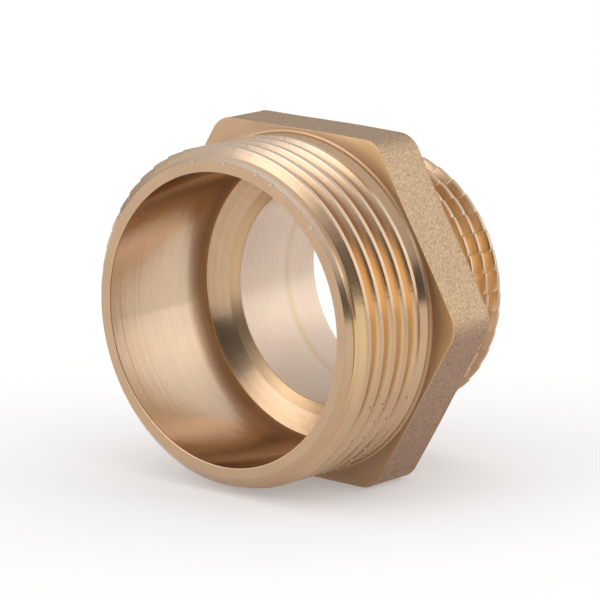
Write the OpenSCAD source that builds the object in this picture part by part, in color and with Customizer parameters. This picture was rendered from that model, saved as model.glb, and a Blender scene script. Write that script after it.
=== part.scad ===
// Reducing hexagon nipple in brass: a large and a small male pipe thread, a wrench
// hexagon between them and a stepped waterway, all in one forged and turned piece.
// It lies on one flat of the hexagon, with the pipe axis along X and the large end at -X.
// Origin: middle of the length, under the pipe axis, on the flat that it rests on.

/* [Large end] */
// Diameter of the large thread over its crests (G 1 1/4)
large_d = 41.91; // [40:0.01:48]
// Length of the large end, from its rim to the hexagon
large_len = 14; // [12:0.1:24]
// Wall left between the waterway and the roots of the large thread
large_wall = 1.57; // [1.2:0.01:2.4]
// Length of the plain collar between the large thread and the hexagon
large_collar_len = 0.45; // [0.3:0.05:1.5]

/* [Small end] */
// Diameter of the small thread over its crests (G 1)
small_d = 33.25; // [30:0.01:36]
// Length of the small end, from its rim to the hexagon
small_len = 13.1; // [11:0.1:22]
// Wall left between the waterway and the roots of the small thread
small_wall = 1.25; // [1:0.01:1.8]
// Length of the plain collar between the small thread and the hexagon
small_collar_len = 0.45; // [0.3:0.05:1.5]

/* [Hexagon] */
// Width of the hexagon, along the pipe axis
hex_w = 7; // [5:0.1:14]
// How far the flats stand out beyond the crests of the large thread
hex_stand = 0.545; // [0.4:0.005:3]
// Radius of the forged corners between the flats
hex_corner_r = 3.3; // [1:0.1:6]

/* [Waterway] */
// Metal left between the step's outer corner and the hexagon's rear face
step_back = 3.1; // [2.4:0.1:4.5]
// Fall of the step towards the small bore, outer ring, in degrees
step_fall = 21.5; // [10:0.5:30]
// Fall of the narrow inner ring of the step, in degrees
lip_fall = 26.5; // [12:0.5:34]
// Width of the narrow inner ring of the step
lip_w = 1.3; // [0.5:0.1:2]

/* [Thread form] */
// Distance from crest to crest (11 threads to the inch)
pitch = 2.309; // [1.8:0.001:2.4]
// Angle between the two flanks of a thread
flank_angle = 55; // [50:1:60]
// Width of the large rim's lead-in bevel, along the axis
lead_in = 1.65; // [1.5:0.05:2.4]
// Width of the small rim's lead-in bevel, along the axis
small_lead_in = 0.75; // [0.6:0.05:1.4]
// Distance from the large rim to the first whole crest, at the top
large_crest_at = 1.95; // [1.6:0.01:2.2]
// Distance from the small rim to the last whole crest, at the top
small_crest_at = 1.55; // [1.2:0.01:1.9]

/* [Hidden] */
$fn = 96;
TOP = 180;               // turns the first crest of each thread to the top of the part
SEGMENTS = 48;           // facets in one turn of a thread
CORNER_STEPS = 6;        // facets in one corner of the hexagon
SPARE = 1;               // how far a cutting shape runs past what it cuts
SHALLOW_STEP_SHARE = 0.1; // of the thread depth: collar below the crests, groove below the roots
GROOVE_SHARE = 1 / 15;   // of the pitch: width of the groove behind a thread
BRASS = "goldenrod";

sharp_height = pitch / 2 / tan(flank_angle / 2);
thread_depth = sharp_height * 2 / 3;
round_r = sharp_height / 6 / (1 / sin(flank_angle / 2) - 1);
round_half_w = round_r * cos(flank_angle / 2);
round_drop = round_r * (1 - sin(flank_angle / 2));
shallow_step = thread_depth * SHALLOW_STEP_SHARE;
groove_w = pitch * GROOVE_SHARE;

length = large_len + hex_w + small_len;
hex_af = large_d + 2 * hex_stand;
hex_end = large_len + hex_w;
step_at = hex_end - step_back;

large_bore_r = large_d / 2 - thread_depth - large_wall;
small_bore_r = small_d / 2 - thread_depth - small_wall;
lip_r = small_bore_r + lip_w;
lip_at = step_at + (large_bore_r - lip_r) * tan(step_fall);
bore_at = lip_at + lip_w * tan(lip_fall);

// One pitch of the thread's section from crest to crest, as [share of pitch, drop below the crest]
THREAD_SECTION = [
    [0, 0],
    [round_half_w / pitch, round_drop],
    [0.5 - round_half_w / pitch, thread_depth - round_drop],
    [0.5, thread_depth],
    [0.5 + round_half_w / pitch, thread_depth - round_drop],
    [1 - round_half_w / pitch, round_drop]
];

// A rod with a right-hand thread, whose crest passes the top at crest_at and each pitch from there
module thread_rod(d, from, to, crest_at) {
    per_turn = len(THREAD_SECTION);
    first_turn = floor((from - crest_at) / pitch) - 1;
    last_turn = ceil((to - crest_at) / pitch);
    rows = (last_turn - first_turn) * per_turn;
    points = [
        for (row = [0 : rows + per_turn - 1])
            let (
                place = THREAD_SECTION[row % per_turn],
                turn = first_turn + floor(row / per_turn),
                z = crest_at + pitch * (turn + place[0]),
                r = d / 2 - place[1]
            )
            for (j = [0 : SEGMENTS - 1])
                let (angle = 360 * j / SEGMENTS)
                [r * cos(angle), r * sin(angle), z + pitch * j / SEGMENTS]
    ];
    low_hub = len(points);
    high_hub = low_hub + 1;
    low_z = crest_at + pitch * (first_turn + 0.5);
    high_z = low_z + pitch * (last_turn - first_turn);
    function at(row, j) = j < SEGMENTS ? row * SEGMENTS + j : (row + per_turn) * SEGMENTS;
    skin = [
        for (row = [0 : rows - 1], j = [0 : SEGMENTS - 1])
            for (half = [0, 1])
                half == 0
                    ? [at(row, j), at(row + 1, j), at(row + 1, j + 1)]
                    : [at(row, j), at(row + 1, j + 1), at(row, j + 1)]
    ];
    low_end = concat(
        [for (j = [0 : SEGMENTS - 1]) [low_hub, at(0, j), at(0, j + 1)]],
        [for (row = [0 : per_turn - 1]) [low_hub, at(row + 1, 0), at(row, 0)]]
    );
    high_end = concat(
        [for (j = [0 : SEGMENTS - 1]) [high_hub, at(rows, j + 1), at(rows, j)]],
        [for (row = [0 : per_turn - 1]) [high_hub, at(rows + row, 0), at(rows + row + 1, 0)]]
    );
    used = concat(points, [[0, 0, low_z], [0, 0, high_z]]);
    polyhedron(used, concat(skin, low_end, high_end), convexity = 10);
}

// One threaded end standing on the XY plane, rim down, up into the hexagon
module threaded_end(d, end_len, collar_len, crest_at, bevel) {
    crest_r = d / 2;
    root_r = crest_r - thread_depth;
    groove_r = root_r - shallow_step;
    collar_r = crest_r - shallow_step;
    collar_at = end_len - collar_len;
    groove_end = collar_at - (collar_r - groove_r);
    groove_at = groove_end - groove_w;
    into_hex = end_len + SPARE;
    intersection() {
        union() {
            thread_rod(d, -SPARE, groove_end, crest_at);
            translate([0, 0, (groove_at + groove_end) / 2])
                cylinder(h = into_hex - groove_at + SPARE, r = crest_r + SPARE);
        }
        rotate_extrude()
            polygon([
                [0, 0],
                [crest_r - bevel, 0],
                [crest_r + SPARE / 2, bevel + SPARE / 2],
                [crest_r + SPARE / 2, groove_at],
                [groove_r, groove_at],
                [groove_r, groove_end],
                [collar_r, collar_at],
                [collar_r, into_hex],
                [0, into_hex]
            ]);
    }
}

// The forged wrench hexagon, with a flat facing +X and round corners
module hexagon() {
    corner_at = (hex_af / 2 - hex_corner_r) / cos(30);
    outline = [
        for (side = [0 : 5], step = [0 : CORNER_STEPS])
            let (
                middle = 30 + 60 * side,
                angle = middle - 30 + 60 * step / CORNER_STEPS
            )
            corner_at * [cos(middle), sin(middle)] + hex_corner_r * [cos(angle), sin(angle)]
    ];
    translate([0, 0, large_len]) linear_extrude(hex_w) polygon(outline);
}

// The stepped waterway, right through the part
module waterway() {
    rotate_extrude()
        polygon([
            [0, -SPARE],
            [large_bore_r, -SPARE],
            [large_bore_r, step_at],
            [lip_r, lip_at],
            [small_bore_r, bore_at],
            [small_bore_r, length + SPARE],
            [0, length + SPARE]
        ]);
}

module nipple() {
    color(BRASS)
        translate([-length / 2, 0, hex_af / 2]) rotate([0, 90, 0]) rotate([0, 0, TOP])
            difference() {
                union() {
                    threaded_end(large_d, large_len, large_collar_len, large_crest_at, lead_in);
                    hexagon();
                    translate([0, 0, length]) rotate([180, 0, 0])
                        threaded_end(small_d, small_len, small_collar_len, small_crest_at, small_lead_in);
                }
                waterway();
            }
}

nipple();
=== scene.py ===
"""Looks of a brass reducing nipple: two serrated pipe threads, a forged hexagon and a turned waterway.

All sizes are in metres. The pipe axis runs along X, from the rim of the large end to the rim of the
small end. Turns round the axis are in degrees, clockwise from the top, seen from the large end.

The nipple is one closed surface. Its outline is a list of rings, and Geometry Nodes carry each ring
round the axis, climb along the threads, cut the nicks and shape the hexagon.
"""
import math

import bpy
from mathutils import Matrix, Vector


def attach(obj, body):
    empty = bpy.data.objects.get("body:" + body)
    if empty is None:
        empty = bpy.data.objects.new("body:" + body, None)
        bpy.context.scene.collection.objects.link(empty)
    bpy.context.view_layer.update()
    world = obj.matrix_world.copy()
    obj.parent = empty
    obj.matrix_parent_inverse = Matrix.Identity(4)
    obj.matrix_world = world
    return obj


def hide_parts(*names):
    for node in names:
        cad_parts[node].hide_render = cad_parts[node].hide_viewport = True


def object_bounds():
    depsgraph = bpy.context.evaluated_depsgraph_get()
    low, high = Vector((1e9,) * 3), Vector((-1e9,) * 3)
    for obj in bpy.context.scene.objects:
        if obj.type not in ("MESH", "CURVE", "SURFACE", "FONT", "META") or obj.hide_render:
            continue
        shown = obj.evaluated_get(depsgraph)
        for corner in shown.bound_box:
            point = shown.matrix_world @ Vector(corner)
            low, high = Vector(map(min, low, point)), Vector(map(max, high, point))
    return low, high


MM = 0.001

# Camera, placed as the photograph was taken, with its angles in degrees
CAMERA_LENS = 239.16
CAMERA_SENSOR = 36.0
CAMERA_TURN = 39.91
CAMERA_DROP = 12.53
CAMERA_ROLL = 0.37
CAMERA_NEAR = 0.01
CAMERA_FAR = 20.0
RIM_TO_THE_RIGHT = -9.476 * MM
RIM_BELOW = 2.495 * MM
RIM_AHEAD = 475.305 * MM

# Pipe threads G 1 1/4 and G 1, eleven to the inch, 55 degree form
PITCH = 2.309 * MM
HALF_FLANK = math.radians(55 / 2)
SHARP_HEIGHT = PITCH / 2 / math.tan(HALF_FLANK)
THREAD_DEPTH = SHARP_HEIGHT * 2 / 3
ROUND_R = SHARP_HEIGHT / 6 / (1 / math.sin(HALF_FLANK) - 1)
ROUND_HALF_W = ROUND_R * math.cos(HALF_FLANK)
ROUND_DROP = ROUND_R * (1 - math.sin(HALF_FLANK))
LARGE_LEAD_IN = 1.65 * MM
SMALL_LEAD_IN = 0.75 * MM
LARGE_CREST_R = 41.91 / 2 * MM
SMALL_CREST_R = 33.25 / 2 * MM
LARGE_CREST_AT = 1.95 * MM
SMALL_CREST_FROM_RIM = 1.55 * MM
SHALLOW_STEP = THREAD_DEPTH * 0.1
GROOVE_W = PITCH / 15
COLLAR_LEN = 0.45 * MM

# Waterway
LARGE_WALL = 1.57 * MM
SMALL_WALL = 1.25 * MM
STEP_BACK = 3.1 * MM
STEP_FALL = math.radians(21.5)
LIP_FALL = math.radians(26.5)
LIP_W = 1.3 * MM
SEAM_AT = 8.5 * MM
SEAM_W = 1.3 * MM
SEAM_DEPTH = 0.02 * MM

# Hexagon, forged, with bulges as (turn of the middle, half of the width in degrees, height)
LARGE_LEN = 14.0 * MM
HEX_W = 7.0 * MM
HEX_CORNER_R = 3.3 * MM
HEX_SIDES = 6
HEX_EDGE = 0.05 * MM
FORGED_UNEVEN = 0.06 * MM
FORGED_GRAIN = 1.2 * MM
FORGED_BULGES = ((42, 38, -0.30 * MM), (-60, 50, 0.28 * MM), (130, 25, 0.10 * MM))

# Edges as the lathe leaves them
EDGE_R = 0.10 * MM
FINE_EDGE_R = 0.06 * MM
FILLET_R = 0.35 * MM
RUN_OUT_BLEND = 0.05 * MM

# Nicks and saw teeth that the knurl rolled across the crests
LARGE_NICKS = 48
SMALL_NICKS = 40
LARGE_NICK_TURN = 1.5
SMALL_NICK_TURN = 7.0
LARGE_NICK_DEPTH = 0.30 * MM
SMALL_NICK_DEPTH = 0.08 * MM
LARGE_NICK_HALF_W = 0.16 * MM
SMALL_NICK_HALF_W = 0.14 * MM
LARGE_TOOTH_TILT = 0.26 * MM
SMALL_TOOTH_TILT = 0.14 * MM
LARGE_TOOTH_CROWN = 0.05 * MM
SMALL_TOOTH_CROWN = 0.04 * MM
LARGE_PUSHED_UP = 0.12 * MM
SMALL_PUSHED_UP = 0.09 * MM
LARGE_CREST_CUT = 0.17 * MM
SMALL_CREST_CUT = 0.08 * MM
LARGE_NICK_REACH = 1.2 * MM
SMALL_NICK_REACH = 0.55 * MM
REACH_POWER = 2
NICK_LUCK = (0.5, 1.35)
NICK_SEED = 7
DEEP_SIDE_TURN = -80
WORN_SHARE = 0.04
WORN_POWER = 1.5

# Beads of metal that the knurl pushed up, with half sizes along X, Y and Z
BEAD_LEAST = (0.10 * MM, 0.22 * MM, 0.17 * MM)
BEAD_MOST = (0.19 * MM, 0.40 * MM, 0.29 * MM)
BEAD_FACETS = 2
BEAD_CHANCE = 0.75
BEAD_FINISH = (0.85, 1.5)
RIM_BEAD_SCALE = 1.0
RIM_BEAD_INSET = 0.10 * MM
RIM_BEAD_FIRST_NICK = -2
RIM_BEAD_NICKS = 9
CREST_BEAD_SCALE = 0.85
CREST_BEAD_SUNK = 0.07 * MM
CREST_BEAD_FIRST_NICK = 15
CREST_BEAD_NICKS = 6
CREST_BEAD_FIRST_CREST = 1
CREST_BEAD_CRESTS = 5

# What the node tree of the surface is given, apart from the outline and the two materials
SURFACE_SIZES = (
    "Length",
    "Apothem",
    "Large thread end",
    "Small thread start",
    "Large nick depth",
    "Small nick depth",
)

# How finely the surface is divided, and its limits for forged metal, smooth edges and doubled points
COLUMNS = 384
CROWDING = 0.22
ARC_STEPS = 2
FACE_ROWS = 3
FLAT_ROWS = 10
GUARD = 0.012 * MM
FLANK_GUARD = 0.008
CREST_FLAT_SHARE = 0.6
NICK_END_SHARE = 0.06
SPARE_PITCHES = 1.26
SPARE_TURNS = 2
WHOLLY_FORGED = 0.6
SMOOTH_LIMIT = math.radians(42)
WELD = 0.001 * MM

# Turned brass, from golden through freshly cut and rubbed to pale, as (polish, colour). The pale end also
# gives the painted highlight on the threads, and the golden end the painted gold in their valleys and on the
# hexagon's faces.
# Cuts and stains vary its tone, and satin takes its roughness from the one value to the other
POLISH = (
    (0.0, (0.85, 0.60, 0.31)),
    (0.3, (0.535, 0.35, 0.218)),
    (0.7, (0.66, 0.48, 0.32)),
    (1.0, (0.72, 0.575, 0.47)),
)
TONE_DARK = 0.76
TONE_LIGHT = 1.24
TURNED_ROUGHNESS = 0.16
SATIN_ROUGHNESS = 0.42
TURNED_STRETCH = 0.7
ACROSS_THE_RINGS = 0.25
FINE_CUT_W = 0.16 * MM
FINE_CUT_DEPTH = 0.003 * MM
BROAD_CUT_W = 0.7 * MM
BROAD_CUT_DEPTH = 0.012 * MM
HANDLING_W = 1.5 * MM
HANDLING_DEPTH = 0.010 * MM
HANDLING_DETAIL = 4.0
STAIN_W = 5.0 * MM
STAIN_DETAIL = 3.0
STAIN_SHARE = 0.35
BROAD_SHARE = 0.35
FINE_SHARE = 1 - STAIN_SHARE - BROAD_SHARE

# Finish of each turned zone, as (polish, satin), where satin is dullness
RIM = (0.38, 0.0)
THREAD = (0.34, 0.2)
CONE = (0.4, 0.1)
COLLAR = (0.25, 0.8)
FACE = (0.34, 1.0)
STEP = (0.42, 0.1)
LIP = (0.22, 0.5)
LARGE_BORE = (0.75, 0.0)
BY_STEP = (0.05, 1.2)
BY_STEP_LEN = 4.0 * MM
SMALL_BORE = (0.92, 0.7)
SEAM = (0.65, 0.6)
REAR_RIM = (0.5, 0.0)

# Where polish rises or falls round the axis: a painted highlight on the crests that face the top, painted
# gold in the deep valleys on one side and a little on the bevels, and painted golden reflection on one side
# of the hexagon's faces
# Painted highlight: paler colour on the crests that face this turn
PAINTED_HIGHLIGHT_TURN = 18
PAINTED_HIGHLIGHT_POWER = 1.5
LARGE_PAINTED_HIGHLIGHT = 0.64
SMALL_PAINTED_HIGHLIGHT = 0.33
# Painted gold: the deep valleys on the side that faces this turn fall towards the golden colour, and the
# bevels a little
VALLEY_TURN = 48
VALLEY_POWER = 3
VALLEY_DEPTH = 0.45 * MM
LARGE_VALLEY_FALL = 0.86
SMALL_VALLEY_FALL = 0.64
# How far the painted highlight keeps the painted gold out of the valleys
PAINTED_HIGHLIGHT_OVER_GOLD = 0.5
BEVEL_FALL = 0.03
# Painted golden reflection on the side of the hexagon's faces that faces this turn
FACE_PAINTED_GOLD = 0.30
FACE_PAINTED_GOLD_TURN = 65

# Brass as forged and grit blasted, with painted shade on some flats, mostly the lower ones, as (turn of the
# middle, half width, how dark)
FORGED_DARK = (0.36, 0.25, 0.15)
FORGED_LIGHT = (0.71, 0.515, 0.335)
# Painted shade on the flats: its colours, and the flats that take it
PAINTED_SHADE_DARK = (0.21, 0.122, 0.078)
PAINTED_SHADE_LIGHT = (0.44, 0.27, 0.185)
FLAT_PAINTED_SHADE = ((120, 30, 0.8), (180, 30, 0.8), (0, 30, 0.35))
FLAT_PAINTED_SHADE_EDGE = 5
FORGED_ROUGHNESS = 0.5
GRIT_W = 0.30 * MM
GRIT_DEPTH = 0.07 * MM
GRIT_DETAIL = 3.0
GRIT_ROUGHNESS = 0.6
GRIT_CONTRAST = 2.2
LUMP_W = 1.4 * MM
LUMP_DEPTH = 0.06 * MM

# Studio, as (azimuth, elevation, width, height, soft edge) in degrees and a strength
SOFTBOXES = {
    "left window": (157, 18, 27, 54, 20, 1.35),
    "left table lamp": (136, 2, 57, 30, 26, 1.05),
    "right strip": (291, 7, 22, 64, 20, 1.1),
    "right window": (333, 7, 78, 57, 40, 0.75),
}
DARK_CARDS = {
    "behind the camera": (211, -1, 88, 40, 8, 0.74),
}
DOME_LOW = 0.48
DOME_HIGH = 0.90
WHITE = (1, 1, 1, 1)
PAPER = (0.80, 0.80, 0.80, 1)
PAPER_LIFT = 0.29
PAPER_R = 2.5
PAPER_SIDES = 96


class Number:
    """A number in a node tree, which takes part in ordinary arithmetic."""

    def __init__(self, tree, socket):
        self.tree = tree
        self.socket = socket

    def __add__(self, other):
        return self.tree.math("ADD", self, other)

    def __radd__(self, other):
        return self.tree.math("ADD", other, self)

    def __sub__(self, other):
        return self.tree.math("SUBTRACT", self, other)

    def __rsub__(self, other):
        return self.tree.math("SUBTRACT", other, self)

    def __mul__(self, other):
        return self.tree.math("MULTIPLY", self, other)

    def __rmul__(self, other):
        return self.tree.math("MULTIPLY", other, self)

    def __truediv__(self, other):
        return self.tree.math("DIVIDE", self, other)

    def __rtruediv__(self, other):
        return self.tree.math("DIVIDE", other, self)


class Tree:
    """A node tree whose nodes are made by short calls."""

    def __init__(self, nodes, links):
        self.nodes = nodes
        self.links = links

    def put(self, socket, value):
        """Links a number, a socket or a node's first output to a socket, or writes a plain value there."""
        if isinstance(value, Number):
            value = value.socket
        if isinstance(value, bpy.types.Node):
            value = value.outputs[0]
        if isinstance(value, bpy.types.NodeSocket):
            self.links.new(value, socket)
        else:
            socket.default_value = value

    def node(self, kind, inputs=None, **settings):
        """A new node with its settings and its inputs, by name or by place."""
        made = self.nodes.new(kind)
        for name, value in settings.items():
            setattr(made, name, value)
        for key, value in (inputs or {}).items():
            self.put(made.inputs[key], value)
        return made

    def out(self, made, key=0):
        """The number that a node gives."""
        return Number(self, made.outputs[key])

    def math(self, operation, *terms):
        """The number that one step of arithmetic gives."""
        return self.out(self.node("ShaderNodeMath", dict(enumerate(terms)), operation=operation))

    def mixed(self, share, first, second):
        """A number that lies a share of the way from one to another."""
        return first + (second - first) * share

    def noise(self, vector, size, detail=2.0, roughness=0.5):
        """Noise whose lumps are about as wide as the size."""
        made = self.node("ShaderNodeTexNoise", {
            "Vector": vector,
            "Scale": 1 / size,
            "Detail": detail,
            "Roughness": roughness,
        })
        return self.out(made, "Fac")

    def faded(self, value, start, end, strength):
        """The strength up to a start, smoothly down to nothing at an end."""
        made = self.node("ShaderNodeMapRange", {
            "Value": value,
            "From Min": start,
            "From Max": end,
            "To Min": strength,
            "To Max": 0.0,
        }, interpolation_type="SMOOTHSTEP")
        return self.out(made)


# Outline of the nipple


class Ring:
    """One ring of the surface: where it lies, what shapes it and its finish."""

    def __init__(self, along, radius, zone, small=0.0, hexagon=0.0, threaded=0.0, forged=0.0):
        self.along = along
        self.radius = radius
        self.small = small
        self.hexagon = hexagon
        self.threaded = threaded
        self.forged = forged
        self.polish, self.satin = zone


def part_way(start, end, share):
    """The direction that lies a share of the way from one direction to another, by angle."""
    angle = start.angle(end)
    return (start * math.sin((1 - share) * angle) + end * math.sin(share * angle)) / math.sin(angle)


def turned_rings(corners):
    """Rings of a turned outline. Each corner is (along, radius, its rounding, finish from there on)."""
    rings = []
    last = len(corners) - 1
    for place, (along, radius, rounding, zone) in enumerate(corners):
        here = Vector((along, radius))
        if rounding == 0 or place in (0, last):
            rings.append(Ring(along, radius, zone))
            continue
        before = (Vector(corners[place - 1][:2]) - here).normalized()
        after = (Vector(corners[place + 1][:2]) - here).normalized()
        half = before.angle(after) / 2
        middle = here + (before + after).normalized() * (rounding / math.sin(half))
        start = here + before * (rounding / math.tan(half))
        end = here + after * (rounding / math.tan(half))
        rings.append(Ring(*(start + before * GUARD), corners[place - 1][3]))
        for step in range(ARC_STEPS + 1):
            rings.append(Ring(*(middle + part_way(start - middle, end - middle, step / ARC_STEPS)), zone))
        rings.append(Ring(*(end + after * GUARD), zone))
    return rings


def thread_rings(start, end, crest_at, small):
    """Rings that follow a thread. They reach past the zone, because each one climbs a pitch in a turn."""
    half = ROUND_HALF_W / PITCH
    crest = (0, half * CREST_FLAT_SHARE, half, half + FLANK_GUARD, half + NICK_END_SHARE)
    rises = [*crest, 0.5 - half - FLANK_GUARD, 0.5 - half, 0.5]
    falls = [1 - share for share in reversed(rises[1:-1])]
    rings = []
    turn = math.floor((start - crest_at) / PITCH) - SPARE_TURNS
    while crest_at + PITCH * turn < end + PITCH:
        for share in rises + falls:
            along = crest_at + PITCH * (turn + share)
            if start - PITCH * SPARE_PITCHES < along < end + PITCH * (SPARE_PITCHES - 1):
                rings.append(Ring(along, 0.0, THREAD, small, threaded=1.0))
        turn += 1
    return rings


def hexagon_rings(front_r, rear_r, apothem):
    """Rings over the hexagon: its machined front face, its forged flats and its rear face."""
    face_r = apothem - HEX_EDGE
    start = LARGE_LEN
    end = LARGE_LEN + HEX_W
    front_w = face_r - front_r
    rear_w = face_r - rear_r
    shares = [step / FACE_ROWS for step in range(1, FACE_ROWS)]
    turns = [math.pi / 2 * step / ARC_STEPS for step in range(ARC_STEPS + 1)]
    edge = [(HEX_EDGE * (1 - math.cos(turn)), HEX_EDGE * (1 - math.sin(turn))) for turn in turns]
    flat_start = start + HEX_EDGE + GUARD
    flat_w = HEX_W - 2 * (HEX_EDGE + GUARD)
    front = [Ring(start, front_r + front_w * share, FACE, hexagon=share) for share in shares]
    front.append(Ring(start, face_r - GUARD, FACE, hexagon=1))
    front += [Ring(start + inward, apothem - down, FACE, hexagon=1) for inward, down in edge]
    flats = [
        Ring(flat_start + flat_w * step / FLAT_ROWS, apothem, FACE, hexagon=1, forged=1)
        for step in range(FLAT_ROWS + 1)
    ]
    rear = [Ring(end - inward, apothem - down, FACE, hexagon=1) for inward, down in reversed(edge)]
    rear.append(Ring(end, face_r - GUARD, FACE, hexagon=1))
    rear += [Ring(end, rear_r + rear_w * share, FACE, hexagon=share) for share in reversed(shares)]
    return front + flats + rear


def thread_end(crest_r, end_len):
    """Corners from the groove behind a thread up to the hexagon, with distances from the rim."""
    groove_r = crest_r - THREAD_DEPTH - SHALLOW_STEP
    collar_r = crest_r - SHALLOW_STEP
    collar_at = end_len - COLLAR_LEN
    groove_end = collar_at - (collar_r - groove_r)
    return [
        (groove_end - GROOVE_W, groove_r, 0, CONE),
        (groove_end, groove_r, FINE_EDGE_R, CONE),
        (collar_at, collar_r, EDGE_R, COLLAR),
        (end_len, collar_r, FILLET_R, COLLAR),
        (end_len, collar_r + FILLET_R + GUARD * 2, 0, COLLAR),
    ]


def waterway(length):
    """Corners from the small rim back through the bores to the large rim."""
    large_rim_r = LARGE_CREST_R - LARGE_LEAD_IN
    small_rim_r = SMALL_CREST_R - SMALL_LEAD_IN
    large_bore_r = LARGE_CREST_R - THREAD_DEPTH - LARGE_WALL
    small_bore_r = SMALL_CREST_R - THREAD_DEPTH - SMALL_WALL
    lip_r = small_bore_r + LIP_W
    step_at = LARGE_LEN + HEX_W - STEP_BACK
    lip_at = step_at + (large_bore_r - lip_r) * math.tan(STEP_FALL)
    bore_at = lip_at + LIP_W * math.tan(LIP_FALL)
    seam_at = bore_at + SEAM_AT
    return [
        (length, small_rim_r, 0, REAR_RIM),
        (length, small_bore_r, EDGE_R, SMALL_BORE),
        (seam_at + SEAM_W, small_bore_r, 0, SMALL_BORE),
        (seam_at + SEAM_W / 2, small_bore_r + SEAM_DEPTH, 0, SEAM),
        (seam_at, small_bore_r, 0, SMALL_BORE),
        (bore_at, small_bore_r, FINE_EDGE_R, LIP),
        (lip_at, lip_r, FINE_EDGE_R, STEP),
        (step_at, large_bore_r, FINE_EDGE_R, BY_STEP),
        (step_at - BY_STEP_LEN, large_bore_r, 0, LARGE_BORE),
        (0, large_bore_r, EDGE_R, RIM),
        (0, large_rim_r - GUARD * 2, 0, RIM),
        (0, large_rim_r, 0, RIM),
    ]


def nipple_rings(length, apothem, large_end, small_end):
    """Every ring of the nipple in order: outside from the large rim to the small one, back inside."""
    rings = [
        *thread_rings(0, large_end[0][0], LARGE_CREST_AT, small=0),
        *turned_rings(large_end),
        *hexagon_rings(large_end[-1][1], small_end[-1][1], apothem),
        *turned_rings(small_end[::-1]),
        *thread_rings(small_end[0][0], length, length - SMALL_CREST_FROM_RIM, small=1),
        *turned_rings(waterway(length))[1:-1],
    ]
    return rings + rings[:1]


def outline_object(rings):
    """A mesh with one point for each ring, which carries what the ring says."""
    mesh = bpy.data.meshes.new("nipple_outline")
    mesh.from_pydata([(ring.along, ring.radius, 0) for ring in rings], [], [])
    for name in ("small", "hexagon", "threaded", "forged", "polish", "satin"):
        attribute = mesh.attributes.new(name, "FLOAT", "POINT")
        attribute.data.foreach_set("value", [float(getattr(ring, name)) for ring in rings])
    outline = bpy.data.objects.new("turned_nipple", mesh)
    bpy.context.scene.collection.objects.link(outline)
    return outline


# Rules that the surface follows


def degrees_off(tree, turn, middle):
    """How many degrees a turn lies from a middle, to either side."""
    return tree.math("ABSOLUTE", tree.math("FLOORED_MODULO", turn - (middle - 180), 360) - 180)


def facing_share(tree, turn, side):
    """How far a place on the nipple faces one side, from nothing to one."""
    return tree.math("MAXIMUM", tree.math("COSINE", tree.math("RADIANS", turn - side)), 0)


def counted_off(tree, size):
    """How many whole runs of a size come before each point, and its place in its own run.

    The half keeps rounding errors away from the start of a run.
    """
    index = tree.out(tree.node("GeometryNodeInputIndex"))
    run = tree.math("FLOOR", (index + 0.5) / size)
    return run, index - run * size


def rounded_hexagon(tree, turn, apothem, corner_r):
    """Distance from the axis to the outline of the hexagon."""
    side = 360 / HEX_SIDES
    off_flat = turn - tree.math("ROUND", turn / side) * side
    beta = tree.math("RADIANS", tree.math("ABSOLUTE", off_flat))
    psi = math.pi / HEX_SIDES - beta
    corner_at = (apothem - corner_r) / math.cos(math.pi / HEX_SIDES)
    flat = apothem / tree.math("COSINE", beta)
    across = corner_at * tree.math("SINE", psi)
    reach = tree.math("MAXIMUM", corner_r * corner_r - across * across, 0)
    corner = corner_at * tree.math("COSINE", psi) + tree.math("SQRT", reach)
    flat_end = (apothem - corner_r) * math.tan(math.pi / HEX_SIDES)
    past = tree.math("GREATER_THAN", apothem * tree.math("TANGENT", beta), flat_end)
    return tree.mixed(past, flat, corner)


def forged_hexagon(tree, turn, apothem):
    """Distance from the axis to the forged flats, which bulge or hollow a little."""
    reach = rounded_hexagon(tree, turn, apothem, HEX_CORNER_R)
    for middle, half_width, height in FORGED_BULGES:
        share_off = tree.math("MINIMUM", degrees_off(tree, turn, middle) / half_width, 1)
        reach = reach + tree.math("POWER", tree.math("COSINE", share_off * (math.pi / 2)), 2) * height
    return reach


def painted_shade_on_flats(tree, turn):
    """How much painted shade each flat takes, as a share."""
    painted_shade = 0
    for middle, half_width, dark in FLAT_PAINTED_SHADE:
        off = degrees_off(tree, turn, middle)
        painted_shade = painted_shade + tree.faded(off, half_width - FLAT_PAINTED_SHADE_EDGE, half_width + FLAT_PAINTED_SHADE_EDGE, dark)
    return painted_shade


def arc_drop(tree, away):
    """How far a rounded crest falls away beside its top."""
    near = tree.math("MINIMUM", away, ROUND_HALF_W)
    return ROUND_R - tree.math("SQRT", ROUND_R * ROUND_R - near * near)


def thread_drop(tree, away):
    """How far a thread falls beside its crest: round top, straight flank, round root."""
    flank = tree.math("MAXIMUM", away - ROUND_HALF_W, 0)
    flank = tree.math("MINIMUM", flank, PITCH / 2 - 2 * ROUND_HALF_W)
    root_drop = ROUND_DROP - arc_drop(tree, PITCH / 2 - away)
    return arc_drop(tree, away) + flank / math.tan(HALF_FLANK) + root_drop


def crowded(tree, nick):
    """A count of nicks with the columns drawn together around each whole one.

    A cubic curve does it, whose factor brings the curves of two neighbours together half way.
    """
    whole = tree.math("ROUND", nick)
    part = nick - whole
    return whole + part * CROWDING + part * part * part * (4 * (1 - CROWDING))


def turn_of_column(tree, column, small, threaded):
    """Degrees round the axis at a column, crowded round the nicks where there is a thread."""
    large_step = 360 / LARGE_NICKS
    small_step = 360 / SMALL_NICKS
    plain = column * (360 / COLUMNS) + LARGE_NICK_TURN
    large = crowded(tree, column * (LARGE_NICKS / COLUMNS)) * large_step + LARGE_NICK_TURN
    shift = (SMALL_NICK_TURN - LARGE_NICK_TURN) / small_step
    fine = crowded(tree, column * (SMALL_NICKS / COLUMNS) - shift) * small_step + SMALL_NICK_TURN
    return tree.mixed(threaded, plain, tree.mixed(small, large, fine))


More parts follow.
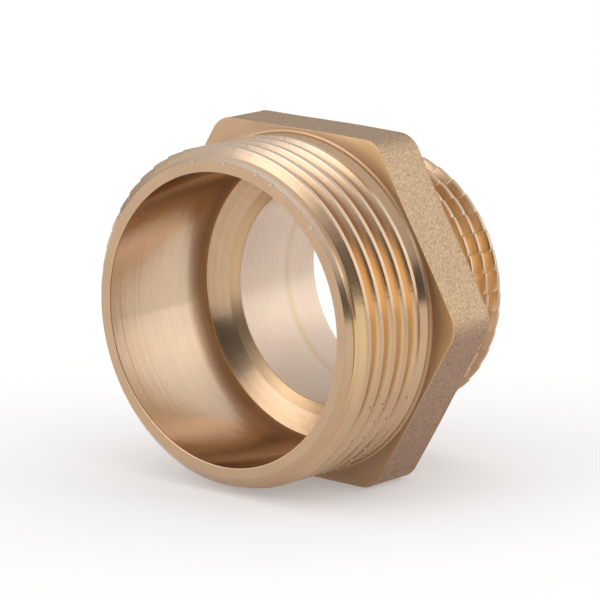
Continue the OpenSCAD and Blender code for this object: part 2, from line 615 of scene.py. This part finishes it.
def turn_of_nick(nick):
    """Degrees round the axis at a nick of the large thread."""
    return nick * (360 / LARGE_NICKS) + LARGE_NICK_TURN


def place_round_axis(tree, given, along, radius, turn):
    """The place at a distance from the large rim, a distance from the axis and a turn."""
    angle = tree.math("RADIANS", turn)
    return tree.node("ShaderNodeCombineXYZ", {
        "X": along - tree.out(given, "Length") / 2,
        "Y": 0 - radius * tree.math("SINE", angle),
        "Z": radius * tree.math("COSINE", angle) + tree.out(given, "Apothem"),
    })


# Surface of the nipple, worked out from its outline


class Surface:
    """A grid with one row of points for each ring and one column for each step round the axis.

    It holds the numbers that the nodes work out at every point.
    """

    def __init__(self, tree, given):
        self.tree = tree
        self.given = given
        self.length = tree.out(given, "Length")

        # The grid, and what the outline says at each of its rows
        size = tree.node("GeometryNodeAttributeDomainSize", {"Geometry": given.outputs["Outline"]})
        rings = tree.out(size, "Point Count")
        self.grid = tree.node("GeometryNodeMeshGrid", {"Vertices X": COLUMNS + 1, "Vertices Y": rings})
        column, self.row = counted_off(tree, rings)
        position = self.of_ring(tree.node("GeometryNodeInputPosition"), "FLOAT_VECTOR")
        outline = tree.node("ShaderNodeSeparateXYZ", {"Vector": position})
        self.ring_radius = tree.out(outline, "Y")
        self.small = self.ring_says("small")
        self.threaded = self.ring_says("threaded")
        self.hexagon = self.ring_says("hexagon")
        self.forged = self.ring_says("forged")

        # Where each point lies, round the axis and along it
        self.turn = turn_of_column(tree, column, self.small, self.threaded)
        self.turns = self.turn / 360
        self.along = self.climbed(tree.out(outline, "X"))

        # The thread there: which crest is the nearest, how far below it, and where the bevel cuts it
        self.crest_r = self.by_end(LARGE_CREST_R, SMALL_CREST_R)
        crest_at = self.by_end(LARGE_CREST_AT, self.length - SMALL_CREST_FROM_RIM)
        pitches = (self.along - crest_at) / PITCH - self.turns
        self.crest = tree.math("ROUND", pitches)
        self.drop = thread_drop(tree, tree.math("ABSOLUTE", pitches - self.crest) * PITCH)
        from_rim = self.by_end(self.along, self.length - self.along)
        self.bevel_r = self.crest_r - self.by_end(LARGE_LEAD_IN, SMALL_LEAD_IN) + from_rim

    def of_ring(self, value, kind):
        """A value of the outline at this point's ring."""
        picked = {"Geometry": self.given.outputs["Outline"], "Value": value, "Index": self.row}
        return self.tree.node("GeometryNodeSampleIndex", picked, data_type=kind, domain="POINT")

    def ring_says(self, name):
        """A number that the outline carries, at this point's ring."""
        attribute = self.tree.node("GeometryNodeInputNamedAttribute", {"Name": name}, data_type="FLOAT")
        return self.tree.out(self.of_ring(attribute, "FLOAT"))

    def by_end(self, large, small):
        """One value at the large end and another at the small end."""
        return self.tree.mixed(self.small, large, small)

    def climbed(self, ring_along):
        """The distance from the large rim. A thread climbs one pitch in a turn and stops at its ends."""
        tree = self.tree
        start = self.small * tree.out(self.given, "Small thread start")
        end = self.by_end(tree.out(self.given, "Large thread end"), self.length)
        climbed = ring_along + self.turns * PITCH
        held = tree.math("MAXIMUM", tree.math("MINIMUM", climbed, end), start)
        return tree.mixed(self.threaded, ring_along, held)

    def knurled_drop(self):
        """How far the knurl takes the crests down: a nick at each of its steps, a saw tooth between two."""
        tree = self.tree
        step = self.by_end(360 / LARGE_NICKS, 360 / SMALL_NICKS)
        steps = (self.turn - self.by_end(LARGE_NICK_TURN, SMALL_NICK_TURN)) / step
        nick = tree.math("ROUND", steps)
        away = tree.math("ABSOLUTE", steps - nick) * step * self.crest_r * math.radians(1)
        across = tree.math("MAXIMUM", 1 - away / self.by_end(LARGE_NICK_HALF_W, SMALL_NICK_HALF_W), 0)
        large_depth = tree.out(self.given, "Large nick depth")
        depth = self.by_end(large_depth, tree.out(self.given, "Small nick depth"))
        luck = tree.node("FunctionNodeRandomValue", {
            "Min": NICK_LUCK[0],
            "Max": NICK_LUCK[1],
            "ID": tree.math("ROUND", nick + self.crest * (360 / step)),
            "Seed": NICK_SEED,
        }, data_type="FLOAT")
        unworn = tree.math("POWER", facing_share(tree, self.turn, DEEP_SIDE_TURN), WORN_POWER) + WORN_SHARE
        fresh = self.by_end(unworn, 1)
        notch = across * depth * tree.out(luck, "Value") * fresh
        tooth = tree.math("FLOORED_MODULO", steps - nick, 1)
        crown = tree.math("POWER", tooth * 2 - 1, 2) * self.by_end(LARGE_TOOTH_CROWN, SMALL_TOOTH_CROWN)
        saw_tooth = tooth * self.by_end(LARGE_TOOTH_TILT, SMALL_TOOTH_TILT) + crown
        return notch + saw_tooth * fresh

    def thread_radius(self):
        """Distance from the axis on a thread, whose crests are pushed up by the knurl and flat on top."""
        tree = self.tree
        raised_r = self.crest_r + self.by_end(LARGE_PUSHED_UP, SMALL_PUSHED_UP)
        profile = tree.math("SMOOTH_MIN", raised_r - self.drop, self.bevel_r, RUN_OUT_BLEND)
        whole_r = tree.math("MINIMUM", profile, raised_r - self.by_end(LARGE_CREST_CUT, SMALL_CREST_CUT))
        below_crest = (self.crest_r - whole_r) / self.by_end(LARGE_NICK_REACH, SMALL_NICK_REACH)
        reached = tree.math("POWER", tree.math("MAXIMUM", 1 - below_crest, 0), REACH_POWER)
        return whole_r - self.knurled_drop() * reached

    def radius(self):
        """Distance from the axis, with the unevenness of the forged flats, which only goes inward."""
        tree = self.tree
        apothem = tree.out(self.given, "Apothem")
        stretch = forged_hexagon(tree, self.turn, apothem) / apothem - 1
        plain_r = self.ring_radius * (1 + self.hexagon * stretch)
        even_r = tree.mixed(self.threaded, plain_r, self.thread_radius())
        angle = tree.math("RADIANS", self.turn)
        point = tree.node("ShaderNodeCombineXYZ", {
            "X": self.along,
            "Y": even_r * tree.math("SINE", angle),
            "Z": even_r * tree.math("COSINE", angle),
        })
        return even_r - self.forged * FORGED_UNEVEN * tree.noise(point, FORGED_GRAIN)

    def polish(self):
        """Polish of the ring, raised by a painted highlight on the crests that face the top, lowered by
        painted gold in the deep valleys on one side and a little on the bevels, and by painted golden
        reflection on one side of the hexagon's faces.
        """
        tree = self.tree
        # Painted highlight on the crests that face the top
        painted_highlight = tree.math("POWER", facing_share(tree, self.turn, PAINTED_HIGHLIGHT_TURN), PAINTED_HIGHLIGHT_POWER)
        # Painted gold in the deep valleys on one side, and a little on the bevels
        deep = tree.math("MINIMUM", self.drop / VALLEY_DEPTH, 1)
        valley_side = tree.math("POWER", facing_share(tree, self.turn, VALLEY_TURN), VALLEY_POWER)
        valley = deep * self.by_end(LARGE_VALLEY_FALL, SMALL_VALLEY_FALL) * valley_side
        on_bevel = tree.math("LESS_THAN", self.bevel_r, self.crest_r - self.drop)
        painted_gold = tree.mixed(on_bevel, valley, BEVEL_FALL) * (1 - painted_highlight * PAINTED_HIGHLIGHT_OVER_GOLD)
        brighter = painted_highlight * self.by_end(LARGE_PAINTED_HIGHLIGHT, SMALL_PAINTED_HIGHLIGHT)
        # Painted golden reflection on one side of the hexagon's faces
        painted_face_gold = facing_share(tree, self.turn, FACE_PAINTED_GOLD_TURN) * FACE_PAINTED_GOLD
        return self.ring_says("polish") + self.threaded * (brighter - painted_gold) - self.hexagon * painted_face_gold

    def closed_shape(self):
        """The grid with its points in place and its seams welded. Each point carries its finish."""
        tree = self.tree
        place = place_round_axis(tree, self.given, self.along, self.radius(), self.turn)
        shape = tree.node("GeometryNodeSetPosition", {"Geometry": self.grid, "Position": place})
        shape = stored(tree, shape, "forged_share", self.forged)
        # Polish, with the painted highlight and painted gold in it
        shape = stored(tree, shape, "polish_and_painted_light_share", self.polish())
        shape = stored(tree, shape, "satin_share", self.ring_says("satin"))
        # Painted shade on some flats, mostly the lower ones
        shape = stored(tree, shape, "painted_shade_share", painted_shade_on_flats(tree, self.turn))
        welded = tree.node("GeometryNodeMergeByDistance", {"Geometry": shape, "Distance": WELD})
        smooth = tree.node("GeometryNodeSetShadeSmooth", {
            "Geometry": welded,
            "Shade Smooth": True,
        }, domain="FACE")
        edge_angle = tree.out(tree.node("GeometryNodeInputMeshEdgeAngle"))
        return tree.node("GeometryNodeSetShadeSmooth", {
            "Geometry": smooth,
            "Selection": tree.math("GREATER_THAN", edge_angle, SMOOTH_LIMIT),
            "Shade Smooth": False,
        }, domain="EDGE")


def stored(tree, shape, name, value):
    """A shape whose points carry a value under a name."""
    inputs = {"Geometry": shape, "Name": name, "Value": value}
    return tree.node("GeometryNodeStoreNamedAttribute", inputs, data_type="FLOAT", domain="POINT")


def beads(tree, count, size, place):
    """Small beads of metal at some of the places."""
    line = tree.node("GeometryNodeMeshLine", {"Count": count})
    bead = tree.node("GeometryNodeMeshIcoSphere", {"Radius": size, "Subdivisions": BEAD_FACETS})
    for name, value in zip(("polish_and_painted_light_share", "satin_share"), BEAD_FINISH):
        bead = stored(tree, bead, name, value)
    some = tree.node("FunctionNodeRandomValue", {
        "Probability": BEAD_CHANCE,
        "Seed": NICK_SEED,
    }, data_type="BOOLEAN")
    sizes = tree.node("FunctionNodeRandomValue", {
        "Min": BEAD_LEAST,
        "Max": BEAD_MOST,
        "Seed": NICK_SEED,
    }, data_type="FLOAT_VECTOR")
    return tree.node("GeometryNodeInstanceOnPoints", {
        "Points": tree.node("GeometryNodeSetPosition", {"Geometry": line, "Position": place}),
        "Selection": some.outputs["Value"],
        "Instance": bead,
        "Scale": sizes.outputs["Value"],
    })


def rim_beads(tree, given):
    """Beads on the large rim."""
    nick = tree.out(tree.node("GeometryNodeInputIndex")) + RIM_BEAD_FIRST_NICK
    radius = LARGE_CREST_R - LARGE_LEAD_IN - RIM_BEAD_INSET
    place = place_round_axis(tree, given, 0, radius, turn_of_nick(nick))
    return beads(tree, RIM_BEAD_NICKS, RIM_BEAD_SCALE, place)


def crest_beads(tree, given):
    """Beads on the crests of the large thread, in rows one pitch apart."""
    row, nick = counted_off(tree, CREST_BEAD_NICKS)
    turn = turn_of_nick(nick + CREST_BEAD_FIRST_NICK)
    along = (turn / 360 + row + CREST_BEAD_FIRST_CREST) * PITCH + LARGE_CREST_AT
    place = place_round_axis(tree, given, along, LARGE_CREST_R - CREST_BEAD_SUNK, turn)
    return beads(tree, CREST_BEAD_NICKS * CREST_BEAD_CRESTS, CREST_BEAD_SCALE, place)


def surface_tree():
    """Geometry Nodes that turn an outline of rings into the whole nipple with its beads."""
    group = bpy.data.node_groups.new("nipple_surface", "GeometryNodeTree")
    group.interface.new_socket("Surface", in_out="OUTPUT", socket_type="NodeSocketGeometry")
    group.interface.new_socket("Outline", in_out="INPUT", socket_type="NodeSocketGeometry")
    for name in SURFACE_SIZES:
        group.interface.new_socket(name, in_out="INPUT", socket_type="NodeSocketFloat")
    for name in ("Turned brass", "Forged brass"):
        group.interface.new_socket(name, in_out="INPUT", socket_type="NodeSocketMaterial")
    tree = Tree(group.nodes, group.links)
    given = tree.node("NodeGroupInput")
    joined = tree.node("GeometryNodeJoinGeometry")
    for part in (Surface(tree, given).closed_shape(), rim_beads(tree, given), crest_beads(tree, given)):
        tree.put(joined.inputs[0], part)
    whole = tree.node("GeometryNodeRealizeInstances", {"Geometry": joined})
    turned = tree.node("GeometryNodeSetMaterial", {
        "Geometry": whole,
        "Material": given.outputs["Turned brass"],
    })
    forged = tree.node("GeometryNodeInputNamedAttribute", {"Name": "forged_share"}, data_type="FLOAT")
    finished = tree.node("GeometryNodeSetMaterial", {
        "Geometry": turned,
        "Selection": tree.math("GREATER_THAN", tree.out(forged), WHOLLY_FORGED),
        "Material": given.outputs["Forged brass"],
    })
    tree.node("NodeGroupOutput", {"Surface": finished})
    return group


def set_inputs(modifier, values):
    """Writes the named inputs of a node group on its modifier."""
    for item in modifier.node_group.interface.items_tree:
        if item.item_type == "SOCKET" and item.in_out == "INPUT" and item.name in values:
            modifier[item.identifier] = values[item.name]


def drop_empty_slots(mesh):
    """Takes the material slots without a material off a mesh, and keeps each face's own material."""
    used = [material for material in mesh.materials if material]
    places = [used.index(mesh.materials[face.material_index]) for face in mesh.polygons]
    mesh.materials.clear()
    for material in used:
        mesh.materials.append(material)
    mesh.polygons.foreach_set("material_index", places)


def made_mesh(outline, values):
    """Runs the surface tree on the outline and keeps the mesh that comes out."""
    modifier = outline.modifiers.new("surface", "NODES")
    modifier.node_group = surface_tree()
    set_inputs(modifier, values)
    depsgraph = bpy.context.evaluated_depsgraph_get()
    mesh = bpy.data.meshes.new_from_object(outline.evaluated_get(depsgraph), depsgraph=depsgraph)
    outline.modifiers.remove(modifier)
    outline.data = mesh
    drop_empty_slots(mesh)
    return outline


# Materials


def material_tree(name):
    """A new material with an empty tree, and the tree."""
    material = bpy.data.materials.new(name)
    material.use_nodes = True
    material.node_tree.nodes.clear()
    return material, Tree(material.node_tree.nodes, material.node_tree.links)


def tinted(tree, share, first, second):
    """A colour between two, by a share."""
    mixer = tree.node("ShaderNodeMix", {"Factor": share, "A": first, "B": second}, data_type="RGBA")
    return mixer.outputs["Result"]


def polish_color(tree):
    """The colour of turned brass by how polished it is there, painted highlight and painted gold included.
    """
    polish = tree.node("ShaderNodeAttribute", attribute_name="polish_and_painted_light_share").outputs["Fac"]
    ramp = tree.node("ShaderNodeValToRGB", {"Fac": polish})
    stops = ramp.color_ramp.elements
    for position, _ in POLISH[1:-1]:
        stops.new(position)
    for stop, (_, rgb) in zip(stops, POLISH):
        stop.color = (*rgb, 1)
    return ramp


def turned_finish(apothem):
    """Brass off the lathe: fine rings round the axis that spread reflections along it."""
    material, tree = material_tree("turned_brass")
    place = tree.node("ShaderNodeTexCoord").outputs["Object"]
    parts = tree.node("ShaderNodeSeparateXYZ", {"Vector": place})
    across = tree.out(parts, "Y")
    height = tree.out(parts, "Z") - apothem
    radius = tree.math("SQRT", across * across + height * height)
    rings = tree.node("ShaderNodeCombineXYZ", {"X": tree.out(parts, "X"), "Y": radius})
    fine = tree.noise(rings, FINE_CUT_W)
    broad = tree.noise(rings, BROAD_CUT_W)
    scratched = tree.noise(place, HANDLING_W, HANDLING_DETAIL)
    stain = tree.noise(place, STAIN_W, STAIN_DETAIL)
    grooves = fine * FINE_CUT_DEPTH + broad * BROAD_CUT_DEPTH + scratched * HANDLING_DEPTH
    shade = stain * STAIN_SHARE + broad * BROAD_SHARE + fine * FINE_SHARE
    color = tree.node("ShaderNodeVectorMath", {
        0: polish_color(tree),
        "Scale": tree.mixed(shade, TONE_DARK, TONE_LIGHT),
    }, operation="SCALE")
    satin = tree.out(tree.node("ShaderNodeAttribute", attribute_name="satin_share"), "Fac")
    shader = tree.node("ShaderNodeBsdfPrincipled", {
        "Base Color": color,
        "Metallic": 1.0,
        "Roughness": tree.mixed(satin, TURNED_ROUGHNESS, SATIN_ROUGHNESS),
        "Anisotropic": TURNED_STRETCH,
        "Anisotropic Rotation": ACROSS_THE_RINGS,
        "Normal": tree.node("ShaderNodeBump", {"Strength": 1.0, "Distance": 1.0, "Height": grooves}),
        "Tangent": tree.node("ShaderNodeTangent", direction_type="RADIAL", axis="X"),
    })
    tree.node("ShaderNodeOutputMaterial", {"Surface": shader})
    return material


def forged_finish():
    """Brass as forged and grit blasted: a coarse dull grain, with painted shade on some flats, mostly the
    lower ones.
    """
    material, tree = material_tree("forged_brass")
    place = tree.node("ShaderNodeTexCoord").outputs["Object"]
    grain = tree.noise(place, GRIT_W, GRIT_DETAIL, GRIT_ROUGHNESS)
    grit = grain * GRIT_DEPTH + tree.noise(place, LUMP_W) * LUMP_DEPTH
    contrast = (grain - 0.5) * GRIT_CONTRAST + 0.5
    unshaded = tinted(tree, contrast, (*FORGED_DARK, 1), (*FORGED_LIGHT, 1))
    # Painted shade: the grain in darker colours on the flats that take it
    dark = tinted(tree, contrast, (*PAINTED_SHADE_DARK, 1), (*PAINTED_SHADE_LIGHT, 1))
    painted_shade = tree.node("ShaderNodeAttribute", attribute_name="painted_shade_share").outputs["Fac"]
    shader = tree.node("ShaderNodeBsdfPrincipled", {
        "Base Color": tinted(tree, painted_shade, unshaded, dark),
        "Metallic": 1.0,
        "Roughness": FORGED_ROUGHNESS,
        "Normal": tree.node("ShaderNodeBump", {"Strength": 1.0, "Distance": 1.0, "Height": grit}),
    })
    tree.node("ShaderNodeOutputMaterial", {"Surface": shader})
    return material


def paper_finish():
    """White paper that takes a soft shadow, and reads as white to the camera and in reflections."""
    material, tree = material_tree("paper")
    ray = tree.node("ShaderNodeLightPath")
    seen = tree.math("MAXIMUM", ray.outputs["Is Camera Ray"], ray.outputs["Is Glossy Ray"])
    seen = tree.math("MAXIMUM", seen, ray.outputs["Is Transmission Ray"])
    shader = tree.node("ShaderNodeBsdfPrincipled", {
        "Base Color": PAPER,
        "Roughness": 1.0,
        "Specular IOR Level": 0.0,
        "Emission Color": WHITE,
        "Emission Strength": seen * PAPER_LIFT,
    })
    tree.node("ShaderNodeOutputMaterial", {"Surface": shader})
    return material


# Studio


def paper_floor():
    """A wide round sheet of paper under the nipple."""
    bpy.ops.mesh.primitive_circle_add(vertices=PAPER_SIDES, radius=PAPER_R, fill_type="NGON")
    floor = bpy.context.object
    floor.name = "paper"
    floor.data.materials.append(paper_finish())


def facing(azimuth, elevation):
    """The direction of an azimuth and an elevation in degrees, with its right and its up."""
    turn = math.radians(azimuth)
    rise = math.radians(elevation)
    ahead = Vector((math.cos(rise) * math.cos(turn), math.cos(rise) * math.sin(turn), math.sin(rise)))
    right = Vector((math.sin(turn), -math.cos(turn), 0))
    return ahead, right, right.cross(ahead)


def softbox(tree, direction, azimuth, elevation, width, height, edge, strength):
    """Light of one softbox, seen from the nipple as a rectangle with soft edges."""
    ahead, right, up = facing(azimuth, elevation)

    def along(axis):
        product = tree.node("ShaderNodeVectorMath", {0: direction, 1: axis}, operation="DOT_PRODUCT")
        return tree.out(product, "Value")

    depth = along(ahead)
    light = tree.math("GREATER_THAN", depth, 0) * strength
    for axis, size in ((right, width), (up, height)):
        off = tree.math("ABSOLUTE", tree.math("ARCTAN2", along(axis), depth))
        inner = math.radians(size / 2 - edge / 2)
        outer = math.radians(size / 2 + edge / 2)
        light = light * tree.faded(off, inner, outer, 1.0)
    return light


def studio():
    """A plain white tent, brighter overhead, with softboxes round it and dark cards in front of them."""
    world = bpy.data.worlds.new("studio")
    bpy.context.scene.world = world
    world.use_nodes = True
    world.node_tree.nodes.clear()
    tree = Tree(world.node_tree.nodes, world.node_tree.links)
    direction = tree.node("ShaderNodeTexCoord").outputs["Generated"]
    height = tree.out(tree.node("ShaderNodeSeparateXYZ", {"Vector": direction}), "Z")
    light = tree.math("MAXIMUM", height, 0) * (DOME_HIGH - DOME_LOW) + DOME_LOW
    for lamp in SOFTBOXES.values():
        light = light + softbox(tree, direction, *lamp)
    for card in DARK_CARDS.values():
        light = light * (1 - softbox(tree, direction, *card))
    glow = tree.node("ShaderNodeBackground", {"Color": WHITE, "Strength": light})
    tree.node("ShaderNodeOutputWorld", {"Surface": glow})


def photograph_camera(rim_middle):
    """The camera of the photograph, found from where the middle of the large rim lies in its picture."""
    forward, level, upright = facing(CAMERA_TURN, -CAMERA_DROP)
    roll = math.radians(CAMERA_ROLL)
    right = level * math.cos(roll) + upright * math.sin(roll)
    up = right.cross(forward)
    data = bpy.data.cameras.new("photograph")
    data.lens = CAMERA_LENS
    data.sensor_width = CAMERA_SENSOR
    data.clip_start = CAMERA_NEAR
    data.clip_end = CAMERA_FAR
    camera = bpy.data.objects.new("photograph", data)
    place = rim_middle - right * RIM_TO_THE_RIGHT + up * RIM_BELOW - forward * RIM_AHEAD
    rotation = Matrix((right, up, -forward)).transposed()
    camera.matrix_world = Matrix.Translation(place) @ rotation.to_4x4()
    bpy.context.scene.collection.objects.link(camera)
    bpy.context.scene.camera = camera


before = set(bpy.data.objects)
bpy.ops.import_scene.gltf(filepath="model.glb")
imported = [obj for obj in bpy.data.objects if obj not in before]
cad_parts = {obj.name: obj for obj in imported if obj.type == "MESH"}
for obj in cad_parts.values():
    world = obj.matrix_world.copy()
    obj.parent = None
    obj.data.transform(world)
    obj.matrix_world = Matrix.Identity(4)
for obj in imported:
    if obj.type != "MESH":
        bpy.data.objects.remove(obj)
start_lo, start_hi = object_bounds()
length = start_hi.x - start_lo.x
apothem = start_hi.z / 2

large_end = thread_end(LARGE_CREST_R, LARGE_LEN)
small_len = length - LARGE_LEN - HEX_W
small_end = [(length - along, *others) for along, *others in thread_end(SMALL_CREST_R, small_len)]
rings = nipple_rings(length, apothem, large_end, small_end)
nipple = made_mesh(outline_object(rings), {
    "Length": length,
    "Apothem": apothem,
    "Large thread end": large_end[0][0],
    "Small thread start": small_end[0][0],
    "Large nick depth": LARGE_NICK_DEPTH,
    "Small nick depth": SMALL_NICK_DEPTH,
    "Turned brass": turned_finish(apothem),
    "Forged brass": forged_finish(),
})
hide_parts("nipple")
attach(nipple, "root")

paper_floor()
studio()
photograph_camera(Vector((start_lo.x, 0, apothem)))
bpy.context.scene.view_settings.view_transform = "Standard"
